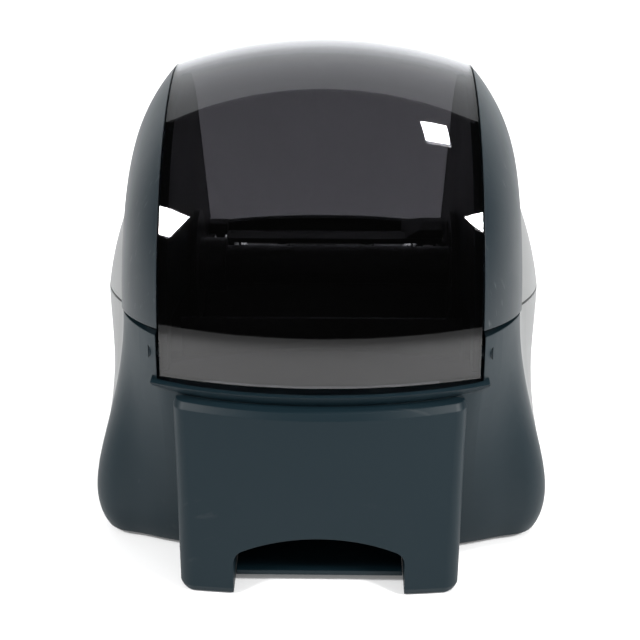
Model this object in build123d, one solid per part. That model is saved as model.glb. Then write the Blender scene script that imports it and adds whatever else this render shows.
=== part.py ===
from build123d import *
from math import sin, cos, tan, radians, degrees, sqrt, hypot, pi, atan2
import os

os.makedirs("parts", exist_ok=True)

# ---------------------------------------------------------------- driving dimensions (mm)
DEPTH = 187.0               # toe to hood, along Y
TOE_Y = -DEPTH / 2
HOOD_Y = DEPTH / 2

DOME_Y, DOME_Z, DOME_R = 0.7, 54.5, 79.3      # rear barrel of the lid, axis along X
BLEND_R = 48.0                                # bend from the barrel into the front slope
BLEND_AT = 78.4                               # degrees up the barrel where the bend starts
SLOPE = 59.6                                  # front slope, degrees from level
CROWN_R = 135.0                               # crown across the lid, and of the side covers

WINDOW_HALF = 43.2
WINDOW_T = 2.2
GAP = 0.5                                     # window edge to lid frame
ARM_OUT = 57.0                                # outer edge of the black arms
ARM_DROP = 32.0
ARM_T = 2.4
EAR_SPHERE_R, EAR_Z = 100.0, 44.0             # bulge of the silver covers and the height of its centre
EAR_HALF = 68.2
EAR_T = 2.0

SEAM_SLOPE = 0.175                            # parting plane falls towards the front
SEAM_KNEE = 48.0
LID_Z, BASE_Z = 66.0, 65.4
REAR_BASE_SLOPE = 0.11

WALL = 2.3
FIT = 0.2
HINGE_Y, HINGE_Z = 67.0, 62.0
PIN_R, PIN_REACH = 2.0, 2.2
SPOOL_Y, SPOOL_Z = 6.0, 63.0
PLATEN_Y, PLATEN_Z, PLATEN_R = -55.0, 36.5, 6.0

BLEND_Y = DOME_Y + (DOME_R - BLEND_R) * cos(radians(BLEND_AT))
BLEND_Z = DOME_Z + (DOME_R - BLEND_R) * sin(radians(BLEND_AT))
SLOPE_SIN, SLOPE_COS = sin(radians(SLOPE)), cos(radians(SLOPE))
SLOPE_TOP = (BLEND_Y - BLEND_R * SLOPE_SIN, BLEND_Z + BLEND_R * SLOPE_COS)


def crown_drop(x):
    return CROWN_R - sqrt(CROWN_R ** 2 - x ** 2)


def slope_y(z):
    """Y of the crown line of the front slope at height z."""
    return SLOPE_TOP[0] - (SLOPE_TOP[1] - z) * SLOPE_COS / SLOPE_SIN


def lid_z(y):
    return LID_Z + SEAM_SLOPE * (y - SEAM_KNEE)


def base_z(y):
    return BASE_Z + (REAR_BASE_SLOPE if y > SEAM_KNEE else SEAM_SLOPE) * (y - SEAM_KNEE)


ARM_IN = WINDOW_HALF + GAP
ARM_IN_DROP = crown_drop(ARM_IN) + 0.2
ARM_MID = (51.2, 17.7)


def arm_arc(off=0.0):
    """Shoulder arc of the arms in the section plane, as (x, drop)."""
    return [(ARM_IN, ARM_IN_DROP + off), (ARM_MID[0] - off * 0.85, ARM_MID[1] + off * 0.55),
            (ARM_OUT - off, ARM_DROP)]


def arm_drop(x):
    """Depth of the lid surface below the crown line at half width x."""
    if x <= ARM_IN:
        return crown_drop(x)
    (x0, d0), (x1, d1), (x2, d2) = arm_arc()
    a, b = x1 - x0, d1 - d0
    c, d = x2 - x0, d2 - d0
    k = 2 * (a * d - b * c)
    ux = (d * (a * a + b * b) - b * (c * c + d * d)) / k
    ud = (a * (c * c + d * d) - c * (a * a + b * b)) / k
    r = hypot(ux, ud)
    h = r * r - (x - x0 - ux) ** 2
    return d0 + ud - sqrt(max(h, 0.0)) if x < x2 else d2


def at_x(sketch_plane_x):
    """Plane whose local x is +Y, local y is +Z, extruding towards +X."""
    return Plane(origin=(sketch_plane_x, 0, 0), x_dir=(0, 1, 0), z_dir=(1, 0, 0))


def slab(points, x0, x1):
    """Side profile in (y, z) extruded from x0 to x1."""
    f = at_x(x0) * make_face(Polyline(*points, close=True))
    return extrude(f, amount=x1 - x0)


def cyl_x(x0, x1, y, z, r):
    pl = Plane(origin=(x0, y, z), x_dir=(0, 1, 0), z_dir=(1, 0, 0))
    return extrude(pl * Circle(r), amount=x1 - x0)


def cyl_z(x, y, z0, z1, r):
    return Pos(x, y, z0) * Cylinder(r, z1 - z0, align=(Align.CENTER, Align.CENTER, Align.MIN))


def cyl_y(x, z, y0, y1, r):
    pl = Plane(origin=(x, y0, z), x_dir=(1, 0, 0), z_dir=(0, 1, 0))
    return extrude(pl * Circle(r), amount=y1 - y0)


def block(x0, x1, y0, y1, z0, z1):
    return Pos(x0, y0, z0) * Box(x1 - x0, y1 - y0, z1 - z0, align=(Align.MIN,) * 3)


def solid_of(shape):
    s = shape.solids()
    return max(s, key=lambda q: q.volume) if len(s) > 1 else s[0]


def mirror_x(shape):
    return mirror(shape, about=Plane.YZ)


# ---------------------------------------------------------------- lid surface sweep
def lid_path(off=0.0):
    """Crown line of the lid, from below the rear edge over the top to the toe."""
    a0 = -25.0
    r1, r2 = DOME_R - off, BLEND_R - off

    def p1(a):
        return (DOME_Y + r1 * cos(radians(a)), DOME_Z + r1 * sin(radians(a)))

    def p2(a):
        return (BLEND_Y + r2 * cos(radians(a)), BLEND_Z + r2 * sin(radians(a)))

    s = p2(90 + SLOPE)
    e = (slope_y(0) + off / SLOPE_SIN, 0.0)
    return p1, p2, s, e, a0


def lid_sweep(face_points):
    """Sweeps a closed section, given as (x, drop) wires, along the lid path."""
    parts = []
    # rear barrel: section stands at the bend start and turns back down to the rear edge
    def face_at(cy, cz, ang, r):
        u = (0, cos(radians(ang)), sin(radians(ang)))
        o = (0, cy + r * u[1], cz + r * u[2])
        n = Vector(1, 0, 0).cross(Vector(*u))
        return Plane(origin=o, x_dir=(1, 0, 0), z_dir=n)
    f1 = face_at(DOME_Y, DOME_Z, BLEND_AT, DOME_R) * face_points
    parts.append(revolve(f1, Axis((0, DOME_Y, DOME_Z), (-1, 0, 0)), BLEND_AT + 25.0))
    parts.append(revolve(f1, Axis((0, BLEND_Y, BLEND_Z), (1, 0, 0)), 90 + SLOPE - BLEND_AT))
    f2 = face_at(BLEND_Y, BLEND_Z, 90 + SLOPE, BLEND_R) * face_points
    parts.append(extrude(f2, amount=(SLOPE_TOP[1] + 5) / SLOPE_SIN, dir=(0, -SLOPE_COS, -SLOPE_SIN)))
    return parts[0].fuse(parts[1], parts[2])


def section(edges):
    return make_face(edges)


def side_region(off, low, low_cut=None):
    """Side profile (y, z) inside the lid path by `off`, above the line low(y), as a face at x=0."""
    p1, p2, s, e, a0 = lid_path(off)
    rear = [p1(a0), p1((a0 + BLEND_AT) / 2), p1(BLEND_AT)]
    top = [p1(BLEND_AT), p2((BLEND_AT + 90 + SLOPE) / 2), p2(90 + SLOPE)]
    edges = [ThreePointArc(*[(y, z) for y, z in rear]), ThreePointArc(*top), Line(s, e),
             Line(e, (rear[0][0], 0)), Line((rear[0][0], 0), rear[0])]
    edges = [q for q in edges if q.length > 1e-3]
    return at_x(0) * make_face(edges)


def above(low, x=80, far=120.0):
    """Half space above the inclined line z = low(y)."""
    return slab([(-far, low(-far)), (SEAM_KNEE, low(SEAM_KNEE)), (far, low(far)), (far, 200), (-far, 200)], -x, x)


LID_SPACE = above(lid_z)


# ---------------------------------------------------------------- base rings
BOX_HALF, BOX_REAR, BOX_CROWN, BOX_CORNER = 66.0, 76.0, 150.0, 10.0
BOX_FRONT_CORNER = 30.0
TUCK_Z, RIM_Z = 11.0, 1.5
SEAM_Z = 66.0
WAIST_Z, WAIST, WAIST_SPAN = 34.0, 0.006, 17.0


def ear_x(y):
    return EAR_HALF - EAR_SPHERE_R + sqrt(EAR_SPHERE_R ** 2 - (y - DOME_Y) ** 2 - (lid_z(y) - EAR_Z) ** 2)


def in_dome(x, y, z):
    d = arm_drop(min(x, ARM_OUT))
    if x > ARM_OUT and x > ear_x(y):
        return False
    if y > DOME_Y:
        return hypot(y - DOME_Y, SEAM_Z - DOME_Z) <= DOME_R - d
    return y >= slope_y(z) + d / SLOPE_SIN


def in_box(x, y, z):
    if y > DOME_Y:
        rc, reach, away = BOX_CORNER, BOX_REAR - DOME_Y, y - DOME_Y
        crown = BOX_CROWN
    else:
        rc, reach, away = BOX_FRONT_CORNER, DOME_Y - max(slope_y(z), TOE_Y), DOME_Y - y
        crown = BOX_CROWN
    dx = max(0.0, x - (BOX_HALF - rc))
    xs = min(x, BOX_HALF - rc)
    dy = max(0.0, away - (reach - rc - xs * xs / (2 * crown)))
    return hypot(dx, dy) <= rc


def ray(inside, phi, z):
    lo, hi = 20.0, 130.0
    for _ in range(40):
        m = (lo + hi) / 2
        if inside(m * sin(phi), DOME_Y + m * cos(phi), z):
            lo = m
        else:
            hi = m
    return lo


def smooth(t):
    t = min(1.0, max(0.0, t))
    return t * t * (3 - 2 * t)


FRONT_SMOOTH = radians(16)


def dome_reach(a, z):
    """Polar reach of the lid outline, eased along the front half so the base has no corner there."""
    w = FRONT_SMOOTH * smooth((a - radians(85)) / radians(20))
    if w == 0:
        return ray(in_dome, a, z)
    total = 0.0
    for k in range(-4, 5):
        b = a + w * k / 4
        total += ray(in_dome, b if b <= pi else 2 * pi - b, z)
    return total / 9


def ring_point(phi, z, inset):
    """Outline of the base at height z in direction phi from the rear, set in by `inset`."""
    start = 44.0 + (SEAM_Z - 44.0) * (1 + cos(phi)) / 2
    t = smooth((start - z) / (start - TUCK_Z))
    a = abs(phi)
    rho = (1 - t) * dome_reach(a, z) + t * ray(in_box, a, z)
    x, y = rho * sin(a), rho * cos(a)
    waist = WAIST * max(0.0, 1 - ((z - WAIST_Z) / WAIST_SPAN) ** 2) ** 2
    tuck = 0.032 * max(0.0, (TUCK_Z - z) / (TUCK_Z - RIM_Z)) ** 2
    x *= 1 - waist - tuck
    y *= 1 - (waist if y > 0 else 0.0) - tuck * (0.7 if y > 0 else 0.35)
    r = hypot(x, y)
    k = (r - inset) / r
    return (x * k, DOME_Y + y * k)


# Polar angles, from the rear, that part the outline into arcs, and the spans within each arc.
ARC_ENDS = [radians(v) for v in (0, 32, 60, 110, 180)]
ARC_SPANS = [3, 7, 5, 8]


def outline_point(phi, z, inset):
    """A point of the outline at any polar angle, on either side of the middle plane."""
    if phi < 0 or phi > pi:
        x, y = ring_point(-phi if phi < 0 else 2 * pi - phi, z, inset)
        return -x, y
    return ring_point(phi, z, inset)


def outline_arc(start, end, spans, z, inset, height):
    """One smooth run of the outline, which leaves and arrives along the outline itself."""
    def heading(phi):
        p, q = outline_point(phi - 0.004, z, inset), outline_point(phi + 0.004, z, inset)
        return Vector(q[0] - p[0], q[1] - p[1], 0).normalized()

    pts = [ring_point(start + (end - start) * k / spans, z, inset) for k in range(spans + 1)]
    return Edge.make_spline([Vector(x, y, height) for x, y in pts], tangents=[heading(start), heading(end)])


def ring(z, inset=0.0, zz=None):
    height = z if zz is None else zz
    arcs = [outline_arc(ARC_ENDS[i], ARC_ENDS[i + 1], n, z, inset, height) for i, n in enumerate(ARC_SPANS)]
    return Wire(arcs + [e.mirror(Plane.YZ) for e in reversed(arcs)])


LEVELS = [RIM_Z, 5, TUCK_Z, 22, 34, 48, 62, 76]


def base_loft(inset=0.0):
    return Solid.make_loft([ring(z, inset) for z in LEVELS])


def base_skin(outside, inside):
    """The wall between two insets of the base form, open at the top and the bottom."""
    faces, rims = [], []
    for inset in (outside, inside):
        body = base_loft(inset)
        flat = [f for f in body.faces() if f.geom_type == GeomType.PLANE]
        faces += [f for f in body.faces() if f.geom_type != GeomType.PLANE]
        rims.append(sorted([f.outer_wire() for f in flat], key=lambda w: w.center().Z))
    faces += [Face(rims[0][k], [rims[1][k]]) for k in (0, 1)]
    return Solid(Shell(faces))


outer = base_loft()
BELOW_BASE = slab([(-130, -20), (130, -20), (130, base_z(130)), (SEAM_KNEE, base_z(SEAM_KNEE)),
                   (-130, base_z(-130))], -90, 90)
outer = solid_of(outer & BELOW_BASE)
wall = solid_of(base_skin(0, WALL) & BELOW_BASE)
LEFT_HALF = block(0, 90, -120, 120, -10, 120)

# ---------------------------------------------------------------- rear hood on two legs
HOOD_HALF, HOOD_TOP, HOOD_T = 39.8, 52.2, 3.0
LEG_Z, LEG_CORNER = 0.5, 5.5
HOOD_TOP_Y = 84.5
NOTCH_HALF, NOTCH_SIDE, NOTCH_CROWN, NOTCH_CORNER = 23.3, 11.5, 17.0, 4.0
BAY_Y = 69.5                                  # face of the connector wall
TUNNEL_T = 2.4


def hood_section(z, inset, front):
    f = (z - LEG_Z) / (HOOD_TOP - LEG_Z)
    half = HOOD_HALF - 1.6 * (1 - f) - inset
    rear = HOOD_Y + (HOOD_TOP_Y - HOOD_Y) * f - inset
    crown = 300.0 - 200.0 * f
    sag = half ** 2 / (2 * crown)
    edges = [ThreePointArc((half, rear - sag), (0, rear), (-half, rear - sag)),
             Line((-half, rear - sag), (-half, front)), Line((-half, front), (half, front)),
             Line((half, front), (half, rear - sag))]
    f2 = make_face(edges)
    f2 = fillet(f2.vertices().group_by(Axis.Y)[-1], max(4.5 - inset * 0.8, 1.0))
    return Pos(0, 0, z) * f2


def rounded_down(half, z0, r):
    """Front view (x, z) profile with rounded lower corners, extruded along Y."""
    f = make_face(Polyline((-half, z0), (half, z0), (half, 90), (-half, 90), close=True))
    f = fillet(f.vertices().group_by(Axis.Y)[0], r)
    return extrude(Plane(origin=(0, 50, 0), x_dir=(1, 0, 0), z_dir=(0, -1, 0)) * f, amount=-60)


hood = loft([hood_section(LEG_Z, 0.6, 62), hood_section(2.0, 0, 62), hood_section(HOOD_TOP - 2.4, 0, 62),
             hood_section(HOOD_TOP - 0.7, 0.7, 62), hood_section(HOOD_TOP, 2.4, 62)], ruled=True)
hood = hood & rounded_down(HOOD_HALF + 0.2, LEG_Z, LEG_CORNER)
hood_in = loft([hood_section(3.2, HOOD_T, 52), hood_section(HOOD_TOP - HOOD_T, HOOD_T, 52)], ruled=True)


def notch(grow, y0, y1, z0):
    h, s, c = NOTCH_HALF + grow, NOTCH_SIDE, NOTCH_CROWN + grow
    f = make_face([Line((-h, z0), (h, z0)), Line((h, z0), (h, s)), ThreePointArc((h, s), (0, c), (-h, s)),
                   Line((-h, s), (-h, z0))])
    f = fillet(f.vertices().group_by(Axis.Y)[-1], NOTCH_CORNER)
    pl = Plane(origin=(0, y0, 0), x_dir=(1, 0, 0), z_dir=(0, -1, 0))
    return extrude(pl * f, amount=-(y1 - y0))


tunnel_out = notch(TUNNEL_T, BAY_Y - TUNNEL_T, 93, LEG_Z + 1.0) & rounded_down(HOOD_HALF - 1, LEG_Z + 1.0, 1.0)
tunnel_in = notch(0, BAY_Y, 110, -5)

# ---------------------------------------------------------------- recess the lid's rear edge swings in
RECESS_HALF = WINDOW_HALF + 1.1
SWING_MID, SWING_SIDE = 15.3, 7.9
RIM_TOP, TROUGH_T = 55.5, 1.6


def barrel(grow, half):
    """Clearance barrel about the hinge axis."""
    pl = Plane(origin=(0, HINGE_Y, HINGE_Z), x_dir=(1, 0, 0), z_dir=(0, -1, 0))
    side = SWING_SIDE + grow
    f = make_face([Line((-half, 0), (half, 0)), Line((half, 0), (half, side)),
                   ThreePointArc((half, side), (0, SWING_MID + grow), (-half, side)), Line((-half, side), (-half, 0))])
    return revolve(pl * f, Axis((0, HINGE_Y, HINGE_Z), (1, 0, 0)), 360)


swing = barrel(0, RECESS_HALF)
trough = barrel(TROUGH_T, RECESS_HALF + TROUGH_T) & block(-60, 60, 50, 100, 40, RIM_TOP)

# ---------------------------------------------------------------- side covers and their pockets
COVER_REAR, COVER_FRONT_BACK, COVER_LOW = 48.0, 30.0, 7.0


def cover_side(grow):
    lo, hi = COVER_LOW - grow, 90
    return slab([(COVER_REAR + grow, lo), (COVER_REAR + grow, hi),
                 (slope_y(hi) + COVER_FRONT_BACK - grow, hi), (slope_y(lo) + COVER_FRONT_BACK - grow, lo)], 30, 90)


side_cover_left = solid_of(wall & LEFT_HALF & cover_side(-FIT))

# ---------------------------------------------------------------- base housing
LUG_R, LUG_T = 5.2, 2.0
SHOULDER_R = 6.9
SLOT_HALF, SLOT_Z = 31.5, 42.2
BUTTON_Z, BUTTON_R = 27.0, 6.0
BRACKET_T = 5.5

shoulder = (block(RECESS_HALF, RECESS_HALF + BRACKET_T, 57, 76, 46, 80)) & outer
half = (wall & LEFT_HALF) - cover_side(0) + shoulder
housing = half + mirror_x(half)
housing = housing + hood
housing = housing - block(-RECESS_HALF, RECESS_HALF, 56, 100, RIM_TOP, 100)
housing = housing - (hood_in - tunnel_out)
housing = housing + trough - swing
housing = housing + (tunnel_out & (hood + block(-26, 26, 60, 72, 1, 25)))
housing = housing - tunnel_in - block(-NOTCH_HALF - 0.1, NOTCH_HALF + 0.1, 60, BAY_Y + 0.1, 0, 4.0)
round_off = block(RECESS_HALF - 1, ARM_OUT + 1, HINGE_Y, 95, HINGE_Z, 90) - cyl_x(30, 70, HINGE_Y, HINGE_Z, SHOULDER_R)
housing = housing - round_off - mirror_x(round_off)
housing = housing - cyl_x(-RECESS_HALF - PIN_REACH - FIT, RECESS_HALF + PIN_REACH + FIT, HINGE_Y, HINGE_Z, PIN_R)
housing = housing - block(-SLOT_HALF, SLOT_HALF, -90, -58, SLOT_Z, 90)

button_plane = Plane(origin=(0, slope_y(BUTTON_Z), BUTTON_Z), x_dir=(1, 0, 0), z_dir=(0, -SLOPE_SIN, SLOPE_COS))


def on_button(r0, r1, z0, z1):
    s = extrude(button_plane.offset(z0) * Circle(r1), amount=z1 - z0)
    return s - extrude(button_plane.offset(z0 - 1) * Circle(r0), amount=z1 - z0 + 2) if r0 else s


RING_OUT = 8.4
housing = housing - on_button(0, RING_OUT, -8, 4) + (on_button(RING_OUT, RING_OUT + 1.6, -11.4, -0.6) & outer)
BOARD_Z, BOARD_T = 3.9, 1.2
BIN = BOARD_Z + BOARD_T
USB_W, USB_H, DC_W, DC_H = 12.0, 11.0, 9.0, 11.0
USB_X, DC_X, SOCKET_Z = 7.5, -8.5, BIN + USB_H / 2
for sx, w, h in ((USB_X, USB_W, USB_H), (DC_X, DC_W, DC_H)):
    housing = housing - block(sx - w / 2 - FIT, sx + w / 2 + FIT, 60, BAY_Y + 1, SOCKET_Z - h / 2 - FIT,
                              SOCKET_Z + h / 2 + FIT)
LOCK_Y, LOCK_Z = 56.0, 12.0                  # security lock slot, 7 x 3, right side of the rear

# ---------------------------------------------------------------- lid: window, frames, side covers
def window_face(half, top, bottom):
    dt, db = crown_drop(half) + top, crown_drop(half) + bottom
    return make_face([ThreePointArc((half, -dt), (0, -top), (-half, -dt)), Line((-half, -dt), (-half, -db)),
                      ThreePointArc((-half, -db), (0, -bottom), (half, -db)), Line((half, -db), (half, -dt))])


REAR_EDGE_Z = 57.0
LID_FRONT_Y = slope_y(lid_z(-70.0))
window_space = slab([(0, lid_z(0)), (0, 200), (200, 200), (200, REAR_EDGE_Z), (40, REAR_EDGE_Z), (40, lid_z(40))],
                    -60, 60) + slab([(-120, lid_z(-120) + 3.0), (0.01, lid_z(0) + 3.0), (0.01, 200), (-120, 200)],
                                    -60, 60)
lid_window = solid_of(lid_sweep(window_face(WINDOW_HALF, 0, WINDOW_T)) & window_space)

EDGE_BAND = 0.4
a0, a1, a2 = arm_arc()
b0, b1, b2 = arm_arc(ARM_T)
LEDGE_IN = 40.8
ledge_top = -(crown_drop(WINDOW_HALF) + WINDOW_T + 0.15)
arm_face = make_face([
    ThreePointArc((a0[0], -a0[1]), (a1[0], -a1[1]), (a2[0], -a2[1])),
    Line((a2[0], -a2[1]), (ARM_OUT - ARM_T, -a2[1])),
    ThreePointArc((ARM_OUT - ARM_T, -a2[1]), (b1[0], -b1[1]), (ARM_IN + 1.9, ledge_top - 2.0)),
    Line((ARM_IN + 1.9, ledge_top - 2.0), (LEDGE_IN, ledge_top - 1.6)),
    Line((LEDGE_IN, ledge_top - 1.6), (LEDGE_IN, ledge_top)),
    Line((LEDGE_IN, ledge_top), (ARM_IN, ledge_top)), Line((ARM_IN, ledge_top), (ARM_IN, -a0[1]))])
PLATE_IN, PLATE_OUT = 40.9, 42.9
plate_side = extrude(side_region(crown_drop(WINDOW_HALF) + WINDOW_T + 1.0, lid_z), amount=PLATE_OUT - PLATE_IN)
plate = Pos(PLATE_IN, 0, 0) * plate_side & LID_SPACE
lug = (cyl_x(PLATE_IN, PLATE_OUT, HINGE_Y, HINGE_Z, LUG_R)
       & cyl_x(30, 50, DOME_Y, DOME_Z, DOME_R - crown_drop(PLATE_OUT) - WINDOW_T - 0.4))
neck = slab([(HINGE_Y - LUG_R, HINGE_Z), (HINGE_Y + 1.0, HINGE_Z + LUG_R - 0.2), (HINGE_Y + 0.8, lid_z(HINGE_Y) + 1),
             (HINGE_Y - 9.0, lid_z(HINGE_Y - 9) + 1)], PLATE_IN, PLATE_OUT)
hinge_pin = cyl_x(PLATE_OUT, RECESS_HALF + PIN_REACH, HINGE_Y, HINGE_Z, PIN_R - 0.05)
JOURNAL_R, AXLE_R = 3.5, 6.0
cradle = (cyl_x(PLATE_IN - 1, PLATE_OUT + 1, SPOOL_Y, SPOOL_Z, JOURNAL_R + 0.06)
          + block(PLATE_IN - 1, PLATE_OUT + 1, SPOOL_Y - JOURNAL_R + 0.35, SPOOL_Y + JOURNAL_R - 0.35, 40, SPOOL_Z))
cheek = cyl_x(PLATE_IN, PLATE_OUT, SPOOL_Y, SPOOL_Z, JOURNAL_R + 3.0)
arm = lid_sweep(arm_face) & LID_SPACE
lid_frame_left = arm + plate + lug + neck + cheek - cradle
lid_frame_left = solid_of(lid_frame_left + hinge_pin)
lid_frame_right = mirror_x(lid_frame_left)

EAR_RIM = ARM_DROP + 0.2
ear_body = Pos(EAR_HALF - EAR_SPHERE_R, DOME_Y, EAR_Z) * Sphere(EAR_SPHERE_R)
ear_in = Pos(EAR_HALF - EAR_SPHERE_R, DOME_Y, EAR_Z) * Sphere(EAR_SPHERE_R - EAR_T)
ear_zone = Pos(ARM_OUT - ARM_T, 0, 0) * extrude(side_region(EAR_RIM, lid_z), amount=14)
ear_hole = Pos(ARM_OUT - ARM_T - 1, 0, 0) * extrude(side_region(EAR_RIM + EAR_T, lid_z), amount=14)
EAR_LIFT = 0.3
ear = (ear_zone & ear_body & (Pos(0, 0, EAR_LIFT) * LID_SPACE)) - (ear_hole & ear_in)
lid_cover_left = solid_of(ear)
lid_cover_right = mirror_x(lid_cover_left)

BAR_T, BAR_H, DECK_HALF = 3.0, 6.0, 40.2
bar_z = lid_z(-66) + 3.2
front_bar = solid_of(lid_sweep(window_face(LEDGE_IN - 0.1, WINDOW_T + 0.15, WINDOW_T + BAR_T))
                     & block(-60, 60, -90, -40, bar_z, bar_z + BAR_H))
under_lid = lid_sweep(window_face(DECK_HALF, WINDOW_T + BAR_T + 0.8, 34))

# ---------------------------------------------------------------- spool
SPOOL_HALF, FLANGE_R, FLANGE_T = 40.3, 17.0, 1.6
spool_spindle = (cyl_x(-SPOOL_HALF, SPOOL_HALF, SPOOL_Y, SPOOL_Z, AXLE_R)
                 + cyl_x(-PLATE_OUT, PLATE_OUT, SPOOL_Y, SPOOL_Z, JOURNAL_R)
                 + cyl_x(-SPOOL_HALF, -SPOOL_HALF + FLANGE_T, SPOOL_Y, SPOOL_Z, FLANGE_R)
                 - cyl_x(-50, 50, SPOOL_Y, SPOOL_Z, 2.0))
for k in range(6):
    hole = cyl_x(-45, -36, SPOOL_Y + 11.5 * cos(k * pi / 3), SPOOL_Z + 11.5 * sin(k * pi / 3), 3.0)
    spool_spindle = spool_spindle - hole
GUIDE_X, GUIDE_TRAVEL = 38.0, 52.0
spool_guide = (cyl_x(GUIDE_X, GUIDE_X + FLANGE_T, SPOOL_Y, SPOOL_Z, FLANGE_R)
               + cyl_x(GUIDE_X - 8, GUIDE_X, SPOOL_Y, SPOOL_Z, AXLE_R + 2.4)
               - cyl_x(GUIDE_X - 9, GUIDE_X + 3, SPOOL_Y, SPOOL_Z, AXLE_R + 0.05))

# ---------------------------------------------------------------- platen, drive train and motor
PLATE_X, PLATE_T = 33.0, 1.2
SHAFT_R, BUSH_R = 2.5, 4.5
GEAR_X0, GEAR_X1 = -38.6, -35.4
MODULE, N_PLATEN, N_IDLER, N_PINION = 1.0, 18, 16, 12
MOTOR_Y, MOTOR_Z, MOTOR_R, MOTOR_LEN = -36.0, 21.5, 11.0, 15.0
MESH = 0.05
MOTOR_FACE = -PLATE_X + PLATE_T + 1.0        # motor flange against the right side plate
dist_pi = MODULE * (N_PLATEN + N_IDLER) / 2 + MESH
dist_im = MODULE * (N_IDLER + N_PINION) / 2 + MESH
base_d = hypot(MOTOR_Y - PLATEN_Y, MOTOR_Z - PLATEN_Z)
along = (dist_pi ** 2 - dist_im ** 2 + base_d ** 2) / (2 * base_d)
side = sqrt(dist_pi ** 2 - along ** 2)
uy, uz = (MOTOR_Y - PLATEN_Y) / base_d, (MOTOR_Z - PLATEN_Z) / base_d
IDLER_Y, IDLER_Z = PLATEN_Y + uy * along - uz * side, PLATEN_Z + uz * along + uy * side


def gear(y, z, n, start, bore, x0=GEAR_X0, x1=GEAR_X1):
    pitch_r = MODULE * n / 2
    root, tip, step = pitch_r - 1.15 * MODULE, pitch_r + 0.75 * MODULE, 2 * pi / n
    pts = []
    for k in range(n):
        c = start + k * step
        for r, w in ((root, -0.26), (tip, -0.11), (tip, 0.11), (root, 0.26)):
            pts.append((y + r * cos(c + w * step), z + r * sin(c + w * step)))
    return slab(pts, x0, x1) - cyl_x(x0 - 1, x1 + 1, y, z, bore)


def mesh_phase(a_yz, a_start, na, b_yz, nb):
    """Start angle of gear b so that its gap faces a tooth of gear a."""
    th = atan2(b_yz[1] - a_yz[1], b_yz[0] - a_yz[0])
    p = ((th - a_start) * na / (2 * pi)) % 1.0
    return th + pi - (0.5 - p) * 2 * pi / nb


PI_START = 0.0
IDLER_START = mesh_phase((PLATEN_Y, PLATEN_Z), PI_START, N_PLATEN, (IDLER_Y, IDLER_Z), N_IDLER)
PINION_START = mesh_phase((IDLER_Y, IDLER_Z), IDLER_START, N_IDLER, (MOTOR_Y, MOTOR_Z), N_PINION)
platen_shaft = cyl_x(GEAR_X0 - 0.8, PLATE_X + 4, PLATEN_Y, PLATEN_Z, SHAFT_R)
platen_roller = cyl_x(-29, 29, PLATEN_Y, PLATEN_Z, PLATEN_R) - cyl_x(-30, 30, PLATEN_Y, PLATEN_Z, SHAFT_R)
platen_gear = gear(PLATEN_Y, PLATEN_Z, N_PLATEN, PI_START, SHAFT_R)
idler_gear = gear(IDLER_Y, IDLER_Z, N_IDLER, IDLER_START, 1.55)
motor_pinion = gear(MOTOR_Y, MOTOR_Z, N_PINION, PINION_START, 1.0)
motor_shaft = cyl_x(GEAR_X0 - 0.5, MOTOR_FACE + 13.8, MOTOR_Y, MOTOR_Z, 1.0)
motor_flange = (cyl_x(MOTOR_FACE - 1.0, MOTOR_FACE, MOTOR_Y, MOTOR_Z, MOTOR_R)
                + block(MOTOR_FACE - 1.0, MOTOR_FACE, MOTOR_Y - 15.5, MOTOR_Y + 15.5, MOTOR_Z - 3.2, MOTOR_Z + 3.2)
                - cyl_x(MOTOR_FACE - 2, MOTOR_FACE + 1, MOTOR_Y, MOTOR_Z, 1.06))
for s in (-1, 1):
    motor_flange = motor_flange - cyl_x(-40, -20, MOTOR_Y + s * 13.4, MOTOR_Z, 1.3)
motor_can = (cyl_x(MOTOR_FACE, MOTOR_FACE + MOTOR_LEN, MOTOR_Y, MOTOR_Z, MOTOR_R)
             - cyl_x(MOTOR_FACE - 1, MOTOR_FACE + 14, MOTOR_Y, MOTOR_Z, 1.06))
idler_post = cyl_x(GEAR_X0 - 0.8, -PLATE_X, IDLER_Y, IDLER_Z, 1.5)


def bush(x0, x1, flange):
    b = cyl_x(x0, x1, PLATEN_Y, PLATEN_Z, BUSH_R) + cyl_x(x1 - 0.8 if flange > 0 else x0,
                                                          x1 if flange > 0 else x0 + 0.8, PLATEN_Y, PLATEN_Z, BUSH_R + 1)
    return b - cyl_x(x0 - 1, x1 + 1, PLATEN_Y, PLATEN_Z, SHAFT_R + 0.05)


platen_bush_right = bush(-PLATE_X - 0.0, -PLATE_X + PLATE_T + 1.2, 1)
platen_bush_left = bush(PLATE_X - PLATE_T - 1.2, PLATE_X, -1)

FRAME_Z, FRAME_FRONT, FRAME_BACK = 8.9, -64.5, -19.0
HEAD_PIVOT_Y, HEAD_PIVOT_Z, HEAD_PIVOT_R = -41.5, 45.5, 1.5
LEVER_Y, LEVER_Z = -34.5, 38.0


def deck_z(y):
    return 56.5 + 0.33 * (y + 42.0)


plate_profile = [(FRAME_FRONT, FRAME_Z), (FRAME_BACK, FRAME_Z), (FRAME_BACK, 26), (-30, 30), (-36.5, 46), (-36.5, 51),
                 (-52, 49), (-62, 45.5), (FRAME_FRONT, 41)]
side_plate = slab(plate_profile, PLATE_X - PLATE_T, PLATE_X)
side_plate = side_plate - cyl_x(30, 36, PLATEN_Y, PLATEN_Z, BUSH_R)
side_plate = side_plate - cyl_x(30, 36, HEAD_PIVOT_Y, HEAD_PIVOT_Z, HEAD_PIVOT_R + 0.06)
frame_plate_left = side_plate - cyl_x(30, 36, LEVER_Y, LEVER_Z, 2.0)
frame_plate_right = (mirror_x(side_plate) - cyl_x(-36, -30, MOTOR_Y, MOTOR_Z, 1.6)
                     - cyl_x(-36, -30, IDLER_Y, IDLER_Z, 1.5))
for s in (-1, 1):
    frame_plate_right = frame_plate_right - cyl_x(-36, -30, MOTOR_Y + s * 13.4, MOTOR_Z, 1.0)
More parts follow.
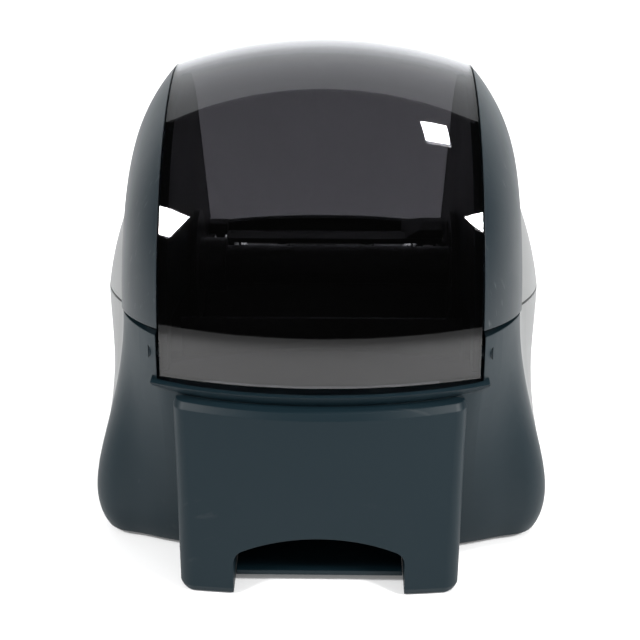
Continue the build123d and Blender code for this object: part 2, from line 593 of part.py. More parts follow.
frame_bridge = (block(-PLATE_X + PLATE_T, PLATE_X - PLATE_T, -64.3, -57.5, 22.0, 23.2)
                + block(-PLATE_X + PLATE_T, PLATE_X - PLATE_T, -64.3, -63.1, 14.0, 22.0))

# ---------------------------------------------------------------- print head
HEAD_HALF = 30.0
STRIP_Z = PLATEN_Z + PLATEN_R + 0.3
head_strip = block(-28, 28, PLATEN_Y - 5.0, PLATEN_Y + 4.5, STRIP_Z, STRIP_Z + 0.8)
heater_line = block(-26, 26, PLATEN_Y - 0.5, PLATEN_Y + 0.5, STRIP_Z - 0.08, STRIP_Z)
HS_Z = STRIP_Z + 0.8
head_heatsink = block(-28.5, 28.5, PLATEN_Y - 5.5, -47.0, HS_Z, HS_Z + 1.2)
for k in range(5):
    head_heatsink = head_heatsink + block(-28.5, 28.5, PLATEN_Y - 5.0 + 2.9 * k, PLATEN_Y - 3.8 + 2.9 * k,
                                          HS_Z + 1.2, HS_Z + 2.6)
head_bracket = (block(-HEAD_HALF, HEAD_HALF, -47.0, -38.5, HS_Z, HS_Z + 1.2)
                + block(-HEAD_HALF, HEAD_HALF, -39.7, -38.5, HS_Z - 4, HS_Z))
for s in (-1, 1):
    x0 = s * HEAD_HALF if s < 0 else HEAD_HALF - 1.2
    ear_lug = slab([(-47, HS_Z), (-38.5, HS_Z), (-38.5, HS_Z + 4.5), (-44.5, HS_Z + 4.5)], x0, x0 + 1.2)
    head_bracket = head_bracket + ear_lug
head_bracket = head_bracket + cyl_x(-PLATE_X - 0.6, -HEAD_HALF, HEAD_PIVOT_Y, HEAD_PIVOT_Z, HEAD_PIVOT_R)
head_bracket = head_bracket + cyl_x(HEAD_HALF, PLATE_X + 0.6, HEAD_PIVOT_Y, HEAD_PIVOT_Z, HEAD_PIVOT_R)


def coil(r, wire, height, turns):
    return sweep(Plane(origin=(r, 0, 0), z_dir=(0, 1, 0.1)) * Circle(wire),
                 path=Helix(pitch=height / turns, height=height, radius=r), is_frenet=True)


DECK_T = 1.6
SPRING_Y = -55.0
spring_z0 = HS_Z + 2.6
spring_z1 = deck_z(SPRING_Y) - DECK_T
head_springs = [Pos(x, SPRING_Y, spring_z0 + 0.35) * coil(2.2, 0.3, spring_z1 - spring_z0 - 0.7, 3.5) for x in (-15, 15)]

# ---------------------------------------------------------------- deck, gear cover, lever, tray, tear bar
DECK_FRONT, DECK_BACK = -64.0, -35.0
feed_deck = slab([(DECK_FRONT, deck_z(DECK_FRONT)), (-42, deck_z(-42)), (DECK_BACK, deck_z(-42)),
                  (DECK_BACK, deck_z(-42) - DECK_T), (-42, deck_z(-42) - DECK_T),
                  (DECK_FRONT, deck_z(DECK_FRONT) - DECK_T)], -DECK_HALF, DECK_HALF)
feed_deck = feed_deck + block(-DECK_HALF, -39.0, -50, -36, 48, deck_z(-50) - 0.5)
LEVER_X0, LEVER_X1 = 34.4, 37.4
feed_deck = feed_deck - block(LEVER_X0 - 0.6, LEVER_X1 + 0.6, -51.5, -34.0, 40, 70)
for x in (-1, 1):
    feed_deck = feed_deck + block(x * 32.4 - 0.6, x * 32.4 + 0.6, -48, -42, 50.4, deck_z(-48) - 0.5)
feed_deck = solid_of(feed_deck & under_lid)
gear_cover = slab([(-58, deck_z(-58)), (-42, deck_z(-42)), (-36, deck_z(-42)), (-36, 59.5), (-41, 60.8), (-47, 60.2),
                   (-58, deck_z(-58) + 3.5)], -DECK_HALF, -27.0)
chamfer_cut = extrude(Plane(origin=(0, -70, 0), x_dir=(1, 0, 0), z_dir=(0, -1, 0)) *
                      make_face(Polyline((-26.9, deck_z(-42) - 0.5), (-34.5, 61.2), (-20, 61.2), close=True)), amount=-50)
gear_cover = solid_of((gear_cover - chamfer_cut) & under_lid)

lever_body = (cyl_x(LEVER_X0, LEVER_X1, LEVER_Y, LEVER_Z, 4.5)
              + slab([(LEVER_Y - 3.5, LEVER_Z), (LEVER_Y + 3.5, LEVER_Z), (-36.0, 58), (-40.5, 58)], LEVER_X0, LEVER_X1)
              + slab([(-42.5, 58), (-35.5, 58), (-36.0, 61.2), (-42.0, 61.2)], LEVER_X0 - 1.0, LEVER_X1 + 2.4))
release_lever = lever_body + cyl_x(PLATE_X - PLATE_T - 6, LEVER_X0, LEVER_Y, LEVER_Z, 1.95)

TRAY_R, TRAY_T, TRAY_HALF = 39.5, 1.8, 40.0
tray_cut = slab([(-200, 51.0), (-31.0, 51.0), (47.0, lid_z(47) - 3.0), (200, 63), (200, 200), (-200, 200)], -80, 80)
roll_tray = cyl_x(-TRAY_HALF, TRAY_HALF, SPOOL_Y, SPOOL_Z, TRAY_R + TRAY_T) - cyl_x(-50, 50, SPOOL_Y, SPOOL_Z, TRAY_R)
roll_tray = roll_tray - tray_cut
for s in (-1, 1):
    leg = block(min(s * 35.5, s * 38.5), max(s * 35.5, s * 38.5), -2, 14, 3.32, 23)
    roll_tray = roll_tray + leg
roll_tray = solid_of(roll_tray - block(LEVER_X0 - 0.8, LEVER_X1 + 0.8, -38, -18, 40, 60))

TEAR_Z = SLOT_Z
tear_pts = [(-SLOT_HALF + 0.3, -64.6), (SLOT_HALF - 0.3, -64.6)]
TEETH = 28
tip_y = slope_y(TEAR_Z) + 1.2
step_x = (2 * SLOT_HALF - 0.6) / TEETH


def tip_at(x):
    return tip_y + crown_drop(x) / SLOPE_SIN


tear_pts += [(SLOT_HALF - 0.3 - k * step_x / 2, tip_at(SLOT_HALF - k * step_x / 2) + (0.9 if k % 2 == 0 else 0.0))
             for k in range(2 * TEETH + 1)]
tear_bar = extrude(Pos(0, 0, TEAR_Z + 0.02) * make_face(Polyline(*tear_pts, close=True)), amount=0.8)

# ---------------------------------------------------------------- feed button and its light
button_out = 1.0
feed_button = on_button(0, BUTTON_R, -2.2, button_out) + on_button(0, 2.0, -6.0, -2.2)
light_ring = on_button(BUTTON_R + 0.35, RING_OUT - 0.05, -3.0, 0.15)
BUTTON_TRAVEL = 0.8
switch_board = on_button(0, 10.5, -12.6, -11.4)
tact_switch = (extrude(button_plane.offset(-11.4) * Rectangle(6, 6), amount=3.4)
               + on_button(0, 1.6, -8.0, -6.0 - BUTTON_TRAVEL - 0.25))
wire_r = 0.22
button_spring = (button_plane.location * Pos(0, 0, -7.7) * coil(2.7, wire_r, 5.0, 4))

# ---------------------------------------------------------------- bottom plate, feet, board, sockets
def plan_face(inset, z):
    return make_face(ring(RIM_Z, inset, z))


PLATE_Z0, PLATE_THK, TONGUE_Z = 1.7, 1.6, 2.3
bottom_plate = extrude(plan_face(WALL + FIT, PLATE_Z0), amount=PLATE_THK)
bottom_plate = bottom_plate - block(-40.2, 40.2, 61.5, 99, 0, 10)
bottom_plate = bottom_plate + block(-NOTCH_HALF + 0.3, NOTCH_HALF - 0.3, 61.0, 86.0, TONGUE_Z, TONGUE_Z + 1.4)
FEET = [(-48, -66), (48, -66), (-50, 52), (50, 52)]
BOARD = (-30.0, 32.0, -16.0, 64.0)
POSTS = [(-26, -12), (28, -12), (-26, 57.5), (28, 57.5)]
for x, y in POSTS:
    bottom_plate = bottom_plate + cyl_z(x, y, 3, BOARD_Z, 3.0)
SCREWS = [(-54, -40), (54, -40), (-52, 40), (52, 40)]
for x, y in FEET:
    bottom_plate = bottom_plate - cyl_z(x, y, 0, 2.7, 6.05)
for x, y in SCREWS:
    bottom_plate = bottom_plate - cyl_z(x, y, 0, 10, 1.65) - cyl_z(x, y, 0, 2.4, 3.1)
for x, y in POSTS:
    bottom_plate = bottom_plate - cyl_z(x, y, 2.1, 10, 1.25)
FRAME_FEET = [(-28, -60), (28, -60), (-28, -24), (28, -24)]
for x, y in FRAME_FEET:
    bottom_plate = bottom_plate + cyl_z(x, y, 3, FRAME_Z, 3.2)
feet = [cyl_z(x, y, 0, 2.7, 6.0) for x, y in FEET]
main_board = block(BOARD[0], BOARD[1], BOARD[2], BOARD[3] - 0.0, BOARD_Z, BOARD_Z + BOARD_T)
for x, y in POSTS:
    main_board = main_board - cyl_z(x, y, 0, 20, 1.6)


def screw(x, y, z_under_head, length, r, head_r, head_h, up=1):
    """Pan head screw: head above z_under_head when up=1, below when up=-1."""
    if up > 0:
        body = cyl_z(x, y, z_under_head - length, z_under_head, r) + cyl_z(x, y, z_under_head, z_under_head + head_h, head_r)
        cut = block(x - head_r * 0.7, x + head_r * 0.7, y - 0.35, y + 0.35, z_under_head + head_h - 0.8, z_under_head + 9)
        cut = cut + block(x - 0.35, x + 0.35, y - head_r * 0.7, y + head_r * 0.7, z_under_head + head_h - 0.8,
                          z_under_head + 9)
    else:
        body = cyl_z(x, y, z_under_head, z_under_head + length, r) + cyl_z(x, y, z_under_head - head_h, z_under_head, head_r)
        cut = block(x - head_r * 0.7, x + head_r * 0.7, y - 0.35, y + 0.35, -9, z_under_head - head_h + 0.6)
    return body - cut


board_screws = [screw(x, y, BIN, 3.0, 1.25, 2.6, 1.6) for x, y in POSTS]
base_screws = [screw(x, y, 2.4, 6.0, 1.5, 2.9, 0.8, -1) for x, y in SCREWS]
bosses = [cyl_z(x, y, 3.35, 12.0, 3.2) - cyl_z(x, y, 3, 9.5, 1.5) for x, y in SCREWS]
rib_reach = base_loft(1.1)
for (x, y), b in zip(SCREWS, bosses):
    s = 1 if x > 0 else -1
    rib = block(min(x, s * 70), max(x, s * 70), y - 2, y + 2, 3.35, COVER_LOW - 0.4) - cyl_z(x, y, 0, 20, 1.5)
    housing = housing + b + (rib & rib_reach)
housing = solid_of(housing)
usb_socket = (block(USB_X - USB_W / 2, USB_X + USB_W / 2, BAY_Y - 16.5, BAY_Y - 0.4, BIN, SOCKET_Z + USB_H / 2 + 0.0)
              - block(USB_X - 4.6, USB_X + 4.6, BAY_Y - 10, BAY_Y + 2, BIN + 0.9, SOCKET_Z + 4.8)
              + block(USB_X - 2.8, USB_X + 2.8, BAY_Y - 11, BAY_Y - 2.5, BIN + 2.2, BIN + 3.6))
power_jack = (block(DC_X - DC_W / 2, DC_X + DC_W / 2, BAY_Y - 13.5, BAY_Y - 0.4, BIN, SOCKET_Z + DC_H / 2)
              - cyl_y(DC_X, BIN + 2.95, BAY_Y - 10.5, BAY_Y + 3, 2.75))
power_pin = cyl_y(DC_X, BIN + 2.95, BAY_Y - 10.5, BAY_Y - 2.0, 1.0)

# ---------------------------------------------------------------- parts on the board and small pieces
def box_at(x, y, w, d, h):
    return block(x - w / 2, x + w / 2, y - d / 2, y + d / 2, BIN, BIN + h)


main_chip = box_at(10, 20, 10, 10, 1.5)
motor_driver = box_at(-18, 8, 7, 7, 1.4)
capacitors = [cyl_z(-20, 49.5, BIN, BIN + 9, 4.0), cyl_z(-11, 42, BIN, BIN + 7, 3.0)]
motor_connector = box_at(-16, -12.5, 10, 5, 5.5)
head_connector = box_at(4, -9, 24, 4, 3.0)
HEAD_PLUG_Z = HS_Z - 4
head_plug = block(-10, 10, -38.5, -35.5, HEAD_PLUG_Z, HEAD_PLUG_Z + 3.6)


def ribbon(points, radii, x0, x1, t):
    """Flat cable: straight runs joined by tangent arcs in the (y, z) plane."""
    f = trace(FilletPolyline(*points, radius=radii), t)
    return solid_of(extrude(at_x(x0) * f, amount=x1 - x0))


head_ribbon = ribbon([(-37.0, HEAD_PLUG_Z - 0.02), (-36.2, 30.0), (-22.5, 17.5), (-9.0, 14.0), (-9.0, BIN + 3.02)],
                     [7.0, 9.0, 2.6], -8, 8, 0.3)
label_sensor = block(14, 22, -48.5, -47.5, 30.0, 36.5) + block(12, 24, -47.5, -46.0, 28.0, 38.0)
sensor_bracket = (block(10.5, 25.5, -46.0, -45.0, 24.0, 38.0) + block(10.5, 25.5, -57.5, -45.0, 23.2, 24.2))
paper_guide = slab([(-48.4, 39.0), (-45.4, 37.0), (-43.2, 37.0), (-43.2, 38.4), (-44.9, 38.4), (-47.8, 40.2)], -31.6, 31.6)
paper_guide = paper_guide - block(9.5, 26.5, -48.2, -43, 30, 45)
motor_screws = []
for s in (-1, 1):
    head = cyl_x(MOTOR_FACE, MOTOR_FACE + 1.4, MOTOR_Y + s * 13.4, MOTOR_Z, 2.0)
    head = head - block(MOTOR_FACE + 0.8, MOTOR_FACE + 3, MOTOR_Y + s * 13.4 - 1.5, MOTOR_Y + s * 13.4 + 1.5,
                        MOTOR_Z - 0.3, MOTOR_Z + 0.3)
    motor_screws.append(head + cyl_x(-PLATE_X - 0.6, MOTOR_FACE, MOTOR_Y + s * 13.4, MOTOR_Z, 1.0))
frame_screws = []
tabs = []
for x, y in FRAME_FEET:
    s = 1 if x > 0 else -1
    tabs.append((s, block(min(s * 24.0, s * PLATE_X), max(s * 24.0, s * PLATE_X), y - 3.5, y + 3.5, FRAME_Z, FRAME_Z + PLATE_T)
                 - cyl_z(x, y, 0, 20, 1.6)))
    frame_screws.append(screw(x, y, FRAME_Z + PLATE_T, 6.0, 1.5, 2.8, 1.6))
    bottom_plate = bottom_plate - cyl_z(x, y, 3.6, 20, 1.5)
for s, tab in tabs:
    if s > 0:
        frame_plate_left = frame_plate_left + tab
    else:
        frame_plate_right = frame_plate_right + tab

parts = {
    "base_housing": housing, "bottom_plate": bottom_plate,
    "side_cover_left": side_cover_left, "side_cover_right": mirror_x(side_cover_left),
    "rubber_feet": feet, "base_screws": base_screws,
    "lid_window": lid_window, "lid_frame_left": lid_frame_left, "lid_frame_right": lid_frame_right,
    "lid_cover_left": lid_cover_left, "lid_cover_right": lid_cover_right, "lid_front_bar": front_bar,
    "spool_spindle": spool_spindle, "spool_guide": spool_guide,
    "platen_shaft": platen_shaft, "platen_roller": platen_roller, "platen_gear": platen_gear,
    "platen_bush_left": platen_bush_left, "platen_bush_right": platen_bush_right,
    "idler_gear": idler_gear, "idler_post": idler_post, "motor_pinion": motor_pinion, "motor_shaft": motor_shaft,
    "motor_can": motor_can, "motor_flange": motor_flange, "motor_screws": motor_screws,
    "frame_plate_left": frame_plate_left, "frame_plate_right": frame_plate_right, "frame_bridge": frame_bridge,
    "frame_screws": frame_screws,
    "head_strip": head_strip, "heater_line": heater_line, "head_heatsink": head_heatsink,
    "head_bracket": head_bracket, "head_springs": head_springs, "head_plug": head_plug, "head_ribbon": head_ribbon,
    "feed_deck": feed_deck, "gear_cover": gear_cover, "release_lever": release_lever, "roll_tray": roll_tray,
    "tear_bar": tear_bar, "paper_guide": paper_guide, "label_sensor": label_sensor, "sensor_bracket": sensor_bracket,
    "feed_button": feed_button, "light_ring": light_ring, "button_spring": button_spring,
    "tact_switch": tact_switch, "switch_board": switch_board,
    "main_board": main_board, "board_screws": board_screws, "main_chip": main_chip,
    "motor_driver": motor_driver, "capacitors": capacitors,
    "motor_connector": motor_connector, "head_connector": head_connector,
    "usb_socket": usb_socket, "power_jack": power_jack, "power_pin": power_pin,
}

for name, shape in parts.items():
    solids = []
    for item in (shape if isinstance(shape, list) else [shape]):
        solids += list(item.solids())
    for q in solids:
        q.label = name
    whole = solids[0] if len(solids) == 1 else Compound(children=solids)
    whole.label = name
    export_step(whole, f"parts/{name}.step")
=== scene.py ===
import bpy, bmesh
from math import radians
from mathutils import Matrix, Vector

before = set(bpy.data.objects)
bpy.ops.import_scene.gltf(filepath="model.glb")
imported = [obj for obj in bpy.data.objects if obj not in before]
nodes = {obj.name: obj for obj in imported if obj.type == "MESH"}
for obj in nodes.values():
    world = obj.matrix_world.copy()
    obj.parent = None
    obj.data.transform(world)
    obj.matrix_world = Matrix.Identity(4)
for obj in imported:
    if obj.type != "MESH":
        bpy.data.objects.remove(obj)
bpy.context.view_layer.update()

# ---- Base housing, bottom plate and lid frames: black ABS mouldings.
# The tool is spark textured, so the skin has a fine even grain that scatters light softly,
# and handling has left faint pale scuffs on the proud faces.


def grain_group():
    """Fine moulded grain with sparse scuffs: gives a roughness, a colour lift and a normal."""
    bump_height = 0.0001
    scuff_stretch, scuff_turn = (60.0, 900.0, 160.0), (0.5, 0.2, 0.7)
    scuff_from, scuff_full = 0.64, 0.74
    handled_per_metre, handled_from, handled_full = 45.0, 0.5, 0.75
    roughness_sway = 0.12
    g = bpy.data.node_groups.new("moulded_grain", "ShaderNodeTree")
    for name, value in (("Grain per metre", 2600.0), ("Grain depth", 0.1), ("Roughness", 0.45),
                        ("Scuffs", 0.3), ("Edge radius", 0.0004)):
        s = g.interface.new_socket(name=name, in_out="INPUT", socket_type="NodeSocketFloat")
        s.default_value = value
    for name, kind in (("Roughness", "NodeSocketFloat"), ("Lift", "NodeSocketFloat"),
                       ("Normal", "NodeSocketVector")):
        g.interface.new_socket(name=name, in_out="OUTPUT", socket_type=kind)
    n, l = g.nodes, g.links
    gin, gout = n.new("NodeGroupInput"), n.new("NodeGroupOutput")
    co = n.new("ShaderNodeTexCoord")
    fine = n.new("ShaderNodeTexNoise")
    fine.inputs["Detail"].default_value = 2.0
    l.new(co.outputs["Object"], fine.inputs["Vector"])
    l.new(gin.outputs["Grain per metre"], fine.inputs["Scale"])
    bevel = n.new("ShaderNodeBevel")
    bevel.samples = 4
    l.new(gin.outputs["Edge radius"], bevel.inputs["Radius"])
    bump = n.new("ShaderNodeBump")
    bump.inputs["Distance"].default_value = bump_height
    l.new(gin.outputs["Grain depth"], bump.inputs["Strength"])
    l.new(fine.outputs["Fac"], bump.inputs["Height"])
    l.new(bevel.outputs["Normal"], bump.inputs["Normal"])
    l.new(bump.outputs["Normal"], gout.inputs["Normal"])
    stretch = n.new("ShaderNodeMapping")
    stretch.inputs["Scale"].default_value = scuff_stretch
    stretch.inputs["Rotation"].default_value = scuff_turn
    l.new(co.outputs["Object"], stretch.inputs["Vector"])
    scratch = n.new("ShaderNodeTexNoise")
    scratch.inputs["Scale"].default_value = 1.0
    scratch.inputs["Detail"].default_value = 3.0
    l.new(stretch.outputs["Vector"], scratch.inputs["Vector"])
    cloud = n.new("ShaderNodeTexNoise")
    cloud.inputs["Scale"].default_value = handled_per_metre
    cloud.inputs["Detail"].default_value = 3.0
    l.new(co.outputs["Object"], cloud.inputs["Vector"])
    line = n.new("ShaderNodeMapRange")
    line.inputs["From Min"].default_value = scuff_from
    line.inputs["From Max"].default_value = scuff_full
    l.new(scratch.outputs["Fac"], line.inputs["Value"])
    patch = n.new("ShaderNodeMapRange")
    patch.inputs["From Min"].default_value = handled_from
    patch.inputs["From Max"].default_value = handled_full
    l.new(cloud.outputs["Fac"], patch.inputs["Value"])
    both = n.new("ShaderNodeMath")
    both.operation = "MULTIPLY"
    l.new(line.outputs["Result"], both.inputs[0])
    l.new(patch.outputs["Result"], both.inputs[1])
    amount = n.new("ShaderNodeMath")
    amount.operation = "MULTIPLY"
    l.new(both.outputs[0], amount.inputs[0])
    l.new(gin.outputs["Scuffs"], amount.inputs[1])
    l.new(amount.outputs[0], gout.inputs["Lift"])
    sway = n.new("ShaderNodeMath")
    sway.operation = "MULTIPLY_ADD"
    l.new(cloud.outputs["Fac"], sway.inputs[0])
    sway.inputs[1].default_value = roughness_sway
    l.new(gin.outputs["Roughness"], sway.inputs[2])
    l.new(sway.outputs[0], gout.inputs["Roughness"])
    return g


moulded_grain = grain_group()


def moulded(name, colour, worn, roughness, grain=2600.0, depth=0.1, scuffs=0.3, edge=0.0004,
            specular=0.5):
    """Moulded plastic: base colour lifted towards the worn colour along the scuffs."""
    m = bpy.data.materials.new(name)
    m.use_nodes = True
    n, l = m.node_tree.nodes, m.node_tree.links
    skin = n["Principled BSDF"]
    skin.inputs["Specular IOR Level"].default_value = specular
    g = n.new("ShaderNodeGroup")
    g.node_tree = moulded_grain
    g.inputs["Grain per metre"].default_value = grain
    g.inputs["Grain depth"].default_value = depth
    g.inputs["Roughness"].default_value = roughness
    g.inputs["Scuffs"].default_value = scuffs
    g.inputs["Edge radius"].default_value = edge
    mix = n.new("ShaderNodeMix")
    mix.data_type = "RGBA"
    mix.inputs["A"].default_value = (*colour, 1)
    mix.inputs["B"].default_value = (*worn, 1)
    l.new(g.outputs["Lift"], mix.inputs["Factor"])
    l.new(mix.outputs["Result"], skin.inputs["Base Color"])
    l.new(g.outputs["Roughness"], skin.inputs["Roughness"])
    l.new(g.outputs["Normal"], skin.inputs["Normal"])
    return m


def dress(material, *names):
    """Puts one material on every slot of the named pieces."""
    for name in names:
        for s in nodes[name].material_slots:
            s.material = material


black_texture = moulded("black_texture", (0.003, 0.0105, 0.015), (0.2, 0.2, 0.2), 0.42,
                        scuffs=0.08, specular=0.2)
dress(black_texture, "base_housing", "bottom_plate", "lid_front_bar")
arm_texture = moulded("arm_texture", (0.005, 0.011, 0.015), (0.3, 0.3, 0.3), 0.36,
                      grain=2200.0, scuffs=0.3, specular=0.2)
dress(arm_texture, "lid_frame_left", "lid_frame_right")

# ---- Silver covers: two on the base, two on the lid, snapped over ribs.
# Painted ABS in a pale silver grey, satin, with a very fine metal flake.
silver_paint = moulded("silver_paint", (0.14, 0.143, 0.143), (0.3, 0.3, 0.3), 0.42,
                       grain=5200.0, depth=0.05, scuffs=0.15)
dress(silver_paint, "side_cover_left", "side_cover_right", "lid_cover_left", "lid_cover_right")

# ---- Lid window: one injection moulding in smoke tinted polycarbonate, polished both sides.
# It runs from the rear edge over the top and down the front, and clips into the lid frames.
smoke = bpy.data.materials.new("smoke_polycarbonate")
smoke.use_nodes = True
n, l = smoke.node_tree.nodes, smoke.node_tree.links
skin = n["Principled BSDF"]
skin.inputs["Transmission Weight"].default_value = 1.0
skin.inputs["IOR"].default_value = 1.5
skin.inputs["Specular IOR Level"].default_value = 0.4
tint = n.new("ShaderNodeTexNoise")
tint.inputs["Scale"].default_value = 8.0
coat = n.new("ShaderNodeTexCoord")
l.new(coat.outputs["Object"], tint.inputs["Vector"])
shade = n.new("ShaderNodeMix")
shade.data_type = "RGBA"
shade.inputs["A"].default_value = (0.175, 0.172, 0.185, 1)
shade.inputs["B"].default_value = (0.20, 0.197, 0.21, 1)
l.new(tint.outputs["Fac"], shade.inputs["Factor"])
l.new(shade.outputs["Result"], skin.inputs["Base Color"])
rub = n.new("ShaderNodeTexNoise")
rub.inputs["Scale"].default_value = 120.0
l.new(coat.outputs["Object"], rub.inputs["Vector"])
rough = n.new("ShaderNodeMapRange")
rough.inputs["From Min"].default_value = 0.4
rough.inputs["From Max"].default_value = 0.9
polished, rubbed = 0.015, 0.06
rough.inputs["To Min"].default_value = polished
rough.inputs["To Max"].default_value = rubbed
l.new(rub.outputs["Fac"], rough.inputs["Value"])
l.new(rough.outputs["Result"], skin.inputs["Roughness"])
dress(smoke, "lid_window")

# ---- Feet: four round pads of soft black rubber, pressed into recesses of the bottom plate.
# Rubber picks up dust and rub marks, so it is the dullest of the black pieces.
rubber = moulded("soft_rubber", (0.012, 0.012, 0.012), (0.1, 0.1, 0.1), 0.7,
                 grain=1500.0, depth=0.25, scuffs=0.3)
dress(rubber, "rubber_feet")

# ---- Roll tray, deck, gear cover, paper guide and release lever: inner mouldings.
# They come from smoother tools than the case does, so the black is more satin.
inner_black = moulded("inner_black", (0.014, 0.015, 0.016), (0.1, 0.1, 0.1), 0.4, scuffs=0.1)
dress(inner_black, "roll_tray", "feed_deck", "gear_cover", "paper_guide", "release_lever")

# ---- Roll spindle and its sliding guide: glossier black mouldings that carry the roll.
# The spindle rests in the lid's two cradles and turns with the roll as labels are drawn off.
spool_black = moulded("spool_black", (0.02, 0.02, 0.022), (0.12, 0.12, 0.12), 0.3,
                      depth=0.04, scuffs=0.1)
dress(spool_black, "spool_spindle", "spool_guide")

# ---- Platen: a ground rubber sleeve bonded to a steel shaft that runs in two acetal bushes.
# Grinding leaves the rubber dull with a fine, even nap that grips the label's back.
platen_rubber = moulded("platen_rubber", (0.02, 0.02, 0.021), (0.07, 0.07, 0.07), 0.6,
                        grain=4000.0, depth=0.2)
dress(platen_rubber, "platen_roller")


# ---- Shafts, post, screws, springs and tear bar: bare ground or drawn steel.
# Grinding and drawing leave fine lines along the piece, which stretch its reflections.


def metal(name, colour, roughness, along=(900.0, 60.0, 60.0)):
    """Bare metal with fine brush lines, drawn out along one direction."""
    m = bpy.data.materials.new(name)
    m.use_nodes = True
    n, l = m.node_tree.nodes, m.node_tree.links
    skin = n["Principled BSDF"]
    skin.inputs["Metallic"].default_value = 1.0
    skin.inputs["Base Color"].default_value = (*colour, 1)
    co, stretch = n.new("ShaderNodeTexCoord"), n.new("ShaderNodeMapping")
    lines = n.new("ShaderNodeTexNoise")
    stretch.inputs["Scale"].default_value = along
    lines.inputs["Scale"].default_value = 3.0
    l.new(co.outputs["Object"], stretch.inputs["Vector"])
    l.new(stretch.outputs["Vector"], lines.inputs["Vector"])
    spread = n.new("ShaderNodeMapRange")
    spread.inputs["To Min"].default_value = roughness * 0.7
    spread.inputs["To Max"].default_value = roughness * 1.3
    l.new(lines.outputs["Fac"], spread.inputs["Value"])
    l.new(spread.outputs["Result"], skin.inputs["Roughness"])
    bump = n.new("ShaderNodeBump")
    bump.inputs["Strength"].default_value = 0.08
    bump.inputs["Distance"].default_value = 0.0001
    l.new(lines.outputs["Fac"], bump.inputs["Height"])
    l.new(bump.outputs["Normal"], skin.inputs["Normal"])
    return m


ground_steel = metal("ground_steel", (0.6, 0.6, 0.59), 0.25)
dress(ground_steel, "platen_shaft", "idler_post", "motor_shaft", "motor_screws", "frame_screws",
      "base_screws", "board_screws", "head_springs", "button_spring", "tear_bar", "power_pin")

# ---- Mechanism frame and motor: steel side plates and bridge, and the motor's drawn can.
# All are zinc plated, a cool grey that is duller than the ground shafts.
zinc = metal("zinc_plate", (0.55, 0.56, 0.57), 0.38, along=(60.0, 400.0, 400.0))
dress(zinc, "frame_plate_left", "frame_plate_right", "frame_bridge", "sensor_bracket",
      "motor_flange", "motor_can", "head_bracket")

# ---- Gears and bushes: small mouldings in natural acetal, press fitted or run dry.
# The plain resin is a waxy off white that lets a little light into its skin.
acetal = moulded("natural_acetal", (0.72, 0.7, 0.64), (0.5, 0.48, 0.42), 0.35, scuffs=0.2)
acetal_skin = acetal.node_tree.nodes["Principled BSDF"]
acetal_skin.inputs["Subsurface Weight"].default_value = 0.1
acetal_skin.inputs["Subsurface Radius"].default_value = (0.001, 0.001, 0.0008)
dress(acetal, "platen_gear", "idler_gear", "motor_pinion", "platen_bush_left", "platen_bush_right")

# ---- Print head: a glazed ceramic strip with its heater line, bonded under a heatsink.
# The heatsink is bare milled aluminium, and the glaze is nearly as smooth as glass.
dress(metal("bare_aluminium", (0.7, 0.7, 0.71), 0.3), "head_heatsink")
glazed_ceramic = moulded("glazed_ceramic", (0.55, 0.5, 0.4), (0.4, 0.36, 0.3), 0.12,
                         depth=0.01, scuffs=0.1)
dress(glazed_ceramic, "head_strip")
heater_glaze = moulded("heater_glaze", (0.06, 0.045, 0.035), (0.1, 0.08, 0.06), 0.1,
                       depth=0.01, scuffs=0.1)
dress(heater_glaze, "heater_line")

# ---- Main board and switch board: glass cloth under a coat of green solder mask.
# The weave of the cloth shows faintly through the coat.
solder_mask = moulded("solder_mask", (0.012, 0.09, 0.035), (0.05, 0.16, 0.08), 0.3,
                      grain=1800.0, depth=0.12, scuffs=0.3)
dress(solder_mask, "main_board", "switch_board")

# ---- Chips, capacitors, sensor, switch and sockets: cases of black epoxy or filled nylon.
# They are soldered to the boards, apart from the label sensor on its bracket.
moulded_epoxy = moulded("moulded_epoxy", (0.015, 0.015, 0.016), (0.06, 0.06, 0.06), 0.5)
dress(moulded_epoxy, "main_chip", "motor_driver", "capacitors", "label_sensor", "tact_switch",
      "usb_socket", "power_jack")

# ---- Wire connectors and head ribbon: natural nylon housings, and a film cable to the head.
# The ribbon is a flat cable of tinned tracks between two clear films.
natural_nylon = moulded("natural_nylon", (0.72, 0.69, 0.6), (0.6, 0.57, 0.5), 0.45)
dress(natural_nylon, "motor_connector", "head_connector", "head_plug")
ribbon_film = moulded("ribbon_film", (0.66, 0.66, 0.64), (0.5, 0.5, 0.5), 0.3, depth=0.02)
dress(ribbon_film, "head_ribbon")

# ---- Feed button and its ring: a blue satin cap that slides in a frosted light pipe.
# The cap presses the switch on its small board, and the ring leads the lamp's light out.
dress(moulded("button_satin", (0.03, 0.11, 0.32), (0.2, 0.3, 0.5), 0.3), "feed_button")
dress(moulded("frosted_pipe", (0.75, 0.78, 0.8), (0.6, 0.62, 0.65), 0.5), "light_ring")

# ---- Table: a broad sheet of pale matt paper under the label maker.
# It glows a little, so that it runs into the background without an edge.
table_half = 3.0
floor_mesh = bpy.data.meshes.new("table")
bm = bmesh.new()
bmesh.ops.create_grid(bm, x_segments=2, y_segments=2, size=table_half)
bm.to_mesh(floor_mesh)
bm.free()
table = bpy.data.objects.new("table", floor_mesh)
bpy.context.scene.collection.objects.link(table)
paper = bpy.data.materials.new("pale_paper")
paper.use_nodes = True
n, l = paper.node_tree.nodes, paper.node_tree.links
skin = n["Principled BSDF"]
skin.inputs["Base Color"].default_value = (0.86, 0.86, 0.86, 1)
skin.inputs["Roughness"].default_value = 0.7
skin.inputs["Emission Color"].default_value = (1.0, 1.0, 1.0, 1)
skin.inputs["Emission Strength"].default_value = 0.12
floor_mesh.materials.append(paper)

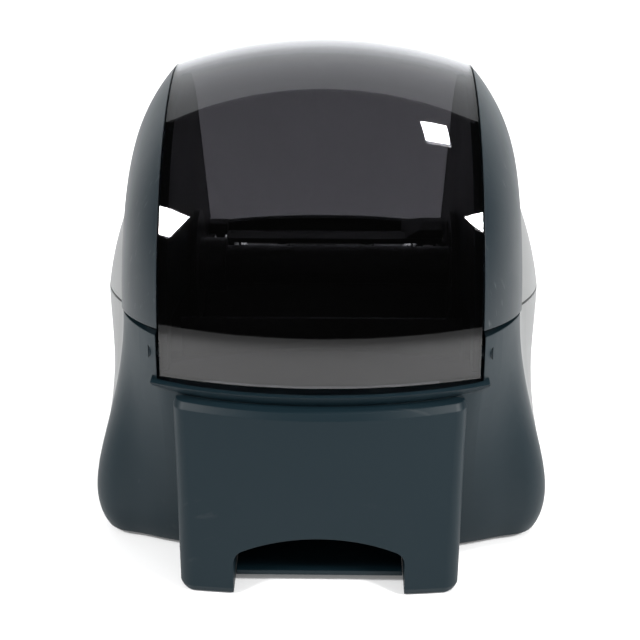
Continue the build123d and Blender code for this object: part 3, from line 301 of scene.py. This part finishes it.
# ---- Background: plain white beyond the table, as seen directly and through the window.
# It lights the label maker at a lower level, and next to nothing of it shows in reflections.
seen_level, lighting_level, mirrored_level = 1.0, 0.62, 0.025
world = bpy.data.worlds.new("studio")
bpy.context.scene.world = world
world.use_nodes = True
n, l = world.node_tree.nodes, world.node_tree.links
back = n["Background"]
back.inputs["Color"].default_value = (1.0, 1.0, 1.0, 1)
rays = n.new("ShaderNodeLightPath")
seen = n.new("ShaderNodeMath")
seen.operation = "MAXIMUM"
l.new(rays.outputs["Is Camera Ray"], seen.inputs[0])
l.new(rays.outputs["Is Transmission Ray"], seen.inputs[1])
level = n.new("ShaderNodeMapRange")
level.inputs["To Min"].default_value = lighting_level
level.inputs["To Max"].default_value = seen_level
l.new(seen.outputs[0], level.inputs["Value"])
mirrored = n.new("ShaderNodeMix")
mirrored.inputs["B"].default_value = mirrored_level
l.new(rays.outputs["Is Glossy Ray"], mirrored.inputs["Factor"])
l.new(level.outputs["Result"], mirrored.inputs["A"])
l.new(mirrored.outputs["Result"], back.inputs["Strength"])

# ---- Far wall: the room's pale, lit wall in front of the label maker.
# The polished lid mirrors it along its top, as a soft band.
wall_half, wall_top, wall_y = 1.5, 2.2, -0.95
wall_mesh = bpy.data.meshes.new("far_wall")
bm = bmesh.new()
for x, z in ((-wall_half, 0.0), (wall_half, 0.0), (wall_half, wall_top), (-wall_half, wall_top)):
    bm.verts.new((x, wall_y, z))
bm.faces.new(bm.verts)
bm.to_mesh(wall_mesh)
bm.free()
far_wall = bpy.data.objects.new("far_wall", wall_mesh)
bpy.context.scene.collection.objects.link(far_wall)
glow = bpy.data.materials.new("lit_wall")
glow.use_nodes = True
skin = glow.node_tree.nodes["Principled BSDF"]
skin.inputs["Base Color"].default_value = (0.8, 0.82, 0.83, 1)
skin.inputs["Emission Color"].default_value = (0.94, 0.97, 1.0, 1)
skin.inputs["Emission Strength"].default_value = 0.5
wall_mesh.materials.append(glow)

# ---- Lamps: three small soft boxes, one at each rear corner and one high in front.
# The polished window mirrors each of them as a small bright shape.
lit_point = (0, 0, 0.07)


def soft_lamp(name, place, aim, size, power):
    """A rectangular lamp of the given size and power, turned towards the aim."""
    data = bpy.data.lights.new(name, "AREA")
    data.shape = "RECTANGLE"
    data.size, data.size_y = size
    data.energy = power
    lamp = bpy.data.objects.new(name, data)
    lamp.location = place
    lamp.rotation_euler = (Vector(aim) - Vector(place)).to_track_quat("-Z", "Y").to_euler()
    bpy.context.scene.collection.objects.link(lamp)


soft_lamp("lamp_left", (0.60, 0.37, 0.60), lit_point, (0.22, 0.14), 7.0)
soft_lamp("lamp_right", (-0.61, 0.37, 0.56), lit_point, (0.16, 0.2), 8.0)
soft_lamp("lamp_top", (-0.5, -0.12, 1.15), lit_point, (0.2, 0.12), 6.0)

# ---- Camera: behind the label maker, a little above it and looking down at the hood.
# A long lens keeps the sides nearly upright.
lens, sensor_width = 73.9, 36.0
look_down, heading = 24, 180.90
camera = bpy.data.objects.new("camera", bpy.data.cameras.new("camera"))
bpy.context.scene.collection.objects.link(camera)
camera.data.lens, camera.data.sensor_width = lens, sensor_width
camera.location = (-0.005, 0.390, 0.215)
camera.rotation_euler = (radians(90 - look_down), 0, radians(heading))
bpy.context.scene.camera = camera
bpy.context.scene.view_settings.view_transform = "Standard"
